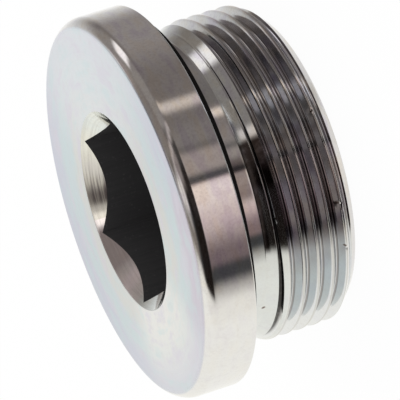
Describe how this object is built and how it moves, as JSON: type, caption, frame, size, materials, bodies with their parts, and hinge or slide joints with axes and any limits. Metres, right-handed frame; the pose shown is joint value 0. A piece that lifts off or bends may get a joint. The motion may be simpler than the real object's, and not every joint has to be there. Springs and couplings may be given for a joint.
{
  "type": "hex socket screw plug",
  "caption": "Short turned screw plug: round collar flange with a countersunk hex socket, a fine-pitch thread behind a relief groove, and a black profile seal ring under the flange.",
  "frame": {"origin": "centre of the thread end face, on the surface that the plug stands on", "axes": "+Z along the plug's axis, from the thread end to the socket face; two of the socket's six corners lie on the X axis"},
  "size_m": [0.05, 0.05, 0.0234],
  "materials": {
    "zinc_plated_steel": "bright zinc plating with a clear blue passivation, fine turning marks",
    "black_rubber": "matt black nitrile rubber"
  },
  "bodies": {
    "root": {"plug_body": "zinc_plated_steel", "seal_ring": "black_rubber"}
  },
  "joints": []
}
